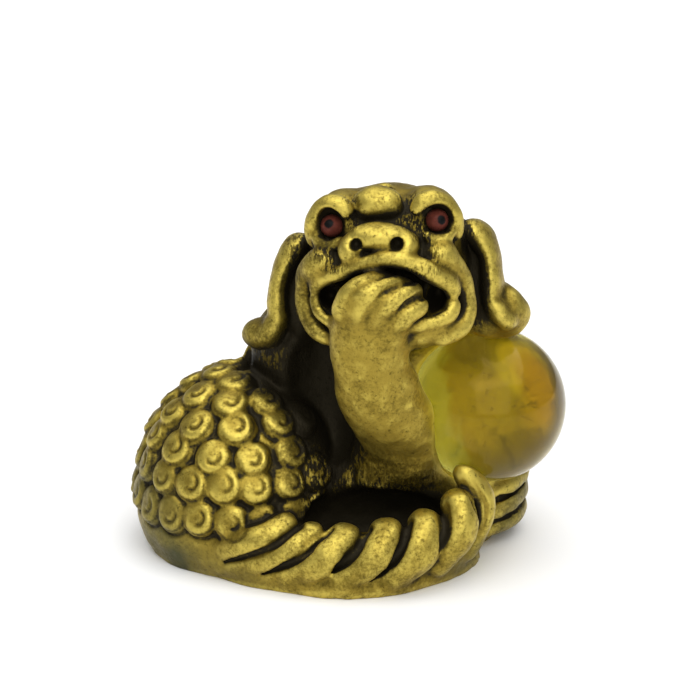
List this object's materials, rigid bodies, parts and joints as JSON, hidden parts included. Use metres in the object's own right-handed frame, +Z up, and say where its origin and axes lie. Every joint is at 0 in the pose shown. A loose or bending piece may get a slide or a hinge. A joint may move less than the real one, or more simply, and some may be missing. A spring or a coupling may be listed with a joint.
{
  "type": "pixiu figurine",
  "caption": "Small cast brass pixiu lying curled with a scaled haunch, one forepaw raised into its mouth and a clear amber glass ball held against its side.",
  "frame": {"origin": "on the flat underside, below the raised forearm, near the middle of the base", "axes": "+Z up, -Y is the side that the face looks to, +X is the viewer's right, where the ball is"},
  "size_m": [0.0449, 0.0315, 0.0412],
  "materials": {
    "brass": "aged yellow brass, rubbed bright on the high points, with a dark patina in every recess",
    "amber_glass": "clear yellow to amber glass with a few faint fibre-like streaks, polished",
    "red_bead": "glossy reddish-brown bead with a dark pupil"
  },
  "bodies": {
    "root": {"figure": "brass", "ball": "amber_glass", "eye_left": "red_bead", "eye_right": "red_bead"}
  },
  "joints": []
}
